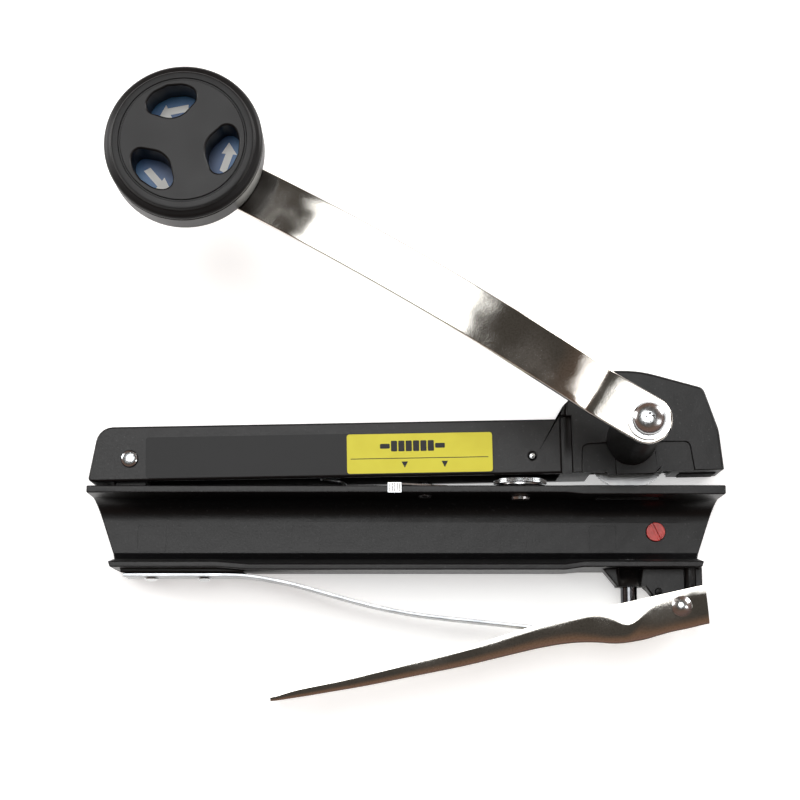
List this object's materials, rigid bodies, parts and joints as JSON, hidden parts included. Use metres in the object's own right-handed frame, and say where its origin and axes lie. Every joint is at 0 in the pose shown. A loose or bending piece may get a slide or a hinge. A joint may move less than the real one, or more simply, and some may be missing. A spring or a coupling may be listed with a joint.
{
  "type": "rotary cutter for armoured cable",
  "caption": "Hand cutter for armoured cable: a channel holds the cable, a hinged head with a cranked cutting wheel slits its armour, and a squeeze lever clamps it.",
  "frame": {"origin": "centre of the channel's flat back face, which lies on the table", "axes": "+X along the channel towards the cutting head, +Y across it towards the hinged arm, +Z out of the open front along the crank's axis"},
  "size_m": [0.26, 0.2382, 0.1055],
  "materials": {
    "black_cast_enamel": "die-cast metal under satin black enamel, lightly textured",
    "nickel_plate": "bright nickel plate on pressed steel, mirror-like",
    "bright_steel": "bright turned and pressed steel",
    "spring_steel": "ground spring steel, slightly dulled",
    "sintered_bronze": "oil-soaked sintered bronze, matt",
    "black_moulded_plastic": "moulded black plastic, satin sheen",
    "black_rubber": "matt black rubber",
    "red_paint": "glossy red paint on steel",
    "blue_printed_card": "printed blue disc, satin",
    "printed_foil_label": "printed foil label, glossy"
  },
  "bodies": {
    "channel_frame": {"channel_body": "black_cast_enamel", "return_leaf_spring": "spring_steel", "leaf_spring_rivet_1": "bright_steel", "leaf_spring_rivet_2": "bright_steel", "red_set_screw": "red_paint", "arm_hinge_pin": "bright_steel", "lever_pivot_pin": "bright_steel", "lever_stop_pin": "black_cast_enamel", "selector_rivet": "bright_steel", "depth_wheel_stud": "bright_steel", "arm_return_spring": "spring_steel"},
    "saw_arm": {"saw_arm_casting": "black_cast_enamel", "instruction_label": "printed_foil_label", "blade_cover": "black_cast_enamel", "cover_screw_1": "bright_steel", "cover_screw_2": "bright_steel", "cover_screw_3": "bright_steel", "head_rest_pad": "black_rubber", "stop_roll_pin": "bright_steel", "shaft_bushing": "sintered_bronze", "rear_bushing": "sintered_bronze"},
    "crank": {"crank_shaft": "bright_steel", "cutting_wheel": "bright_steel", "blade_nut": "bright_steel", "blade_washer": "bright_steel", "crank_spacer": "bright_steel", "crank_arm": "nickel_plate", "crank_washer": "bright_steel", "crank_screw": "bright_steel", "knob_axle": "bright_steel", "knob_retaining_ring": "bright_steel"},
    "knob": {"knob_cap": "black_moulded_plastic", "knob_base": "black_moulded_plastic", "knob_blue_disc": "blue_printed_card"},
    "clamp_lever_body": {"clamp_lever": "nickel_plate"},
    "plunger_body": {"clamp_plunger": "bright_steel"},
    "selector_body": {"size_selector": "spring_steel"},
    "wheel_body": {"depth_wheel": "bright_steel"}
  },
  "joints": [
    {"name": "arm_hinge", "type": "hinge", "parent": "channel_frame", "child": "saw_arm", "pos_m": [-0.1127, 0.0278, 0], "axis": [0, 0, 1], "range_deg": [-1, 0], "stiffness_Nm_per_rad": 8, "springref_deg": 3.44, "deforming": ["arm_return_spring"]},
    {"name": "crank_spin", "type": "hinge", "parent": "saw_arm", "child": "crank", "pos_m": [0.0918, 0.0353, 0], "axis": [0, 0, 1], "continuous": true},
    {"name": "knob_spin", "type": "hinge", "parent": "crank", "child": "knob", "pos_m": [-0.08442, 0.13827, 0.1], "axis": [0, 0, 1], "continuous": true},
    {"name": "lever_hinge", "type": "hinge", "parent": "channel_frame", "child": "clamp_lever_body", "pos_m": [0.1113, -0.0318, 0.016], "axis": [0, 0, -1], "range_deg": [0, 14], "stiffness_Nm_per_rad": 1.5, "springref_deg": -14.32, "deforming": ["return_leaf_spring"]},
    {"name": "plunger_slide", "type": "slide", "parent": "channel_frame", "child": "plunger_body", "axis": [0, 1, 0], "range_m": [0, 0.0052]},
    {"name": "selector_turn", "type": "hinge", "parent": "channel_frame", "child": "selector_body", "pos_m": [0.0079, 0.0177, 0.02], "axis": [0, 1, 0], "range_deg": [0, 85]},
    {"name": "depth_wheel_turn", "type": "hinge", "parent": "channel_frame", "child": "wheel_body", "pos_m": [0.0474, 0.0195, 0.0142], "axis": [0, 1, 0], "range_deg": [-180, 180]}
  ],
  "couplings": [
    {"joint": "plunger_slide", "follows": "lever_hinge", "m_per_rad": 0.0203}
  ]
}
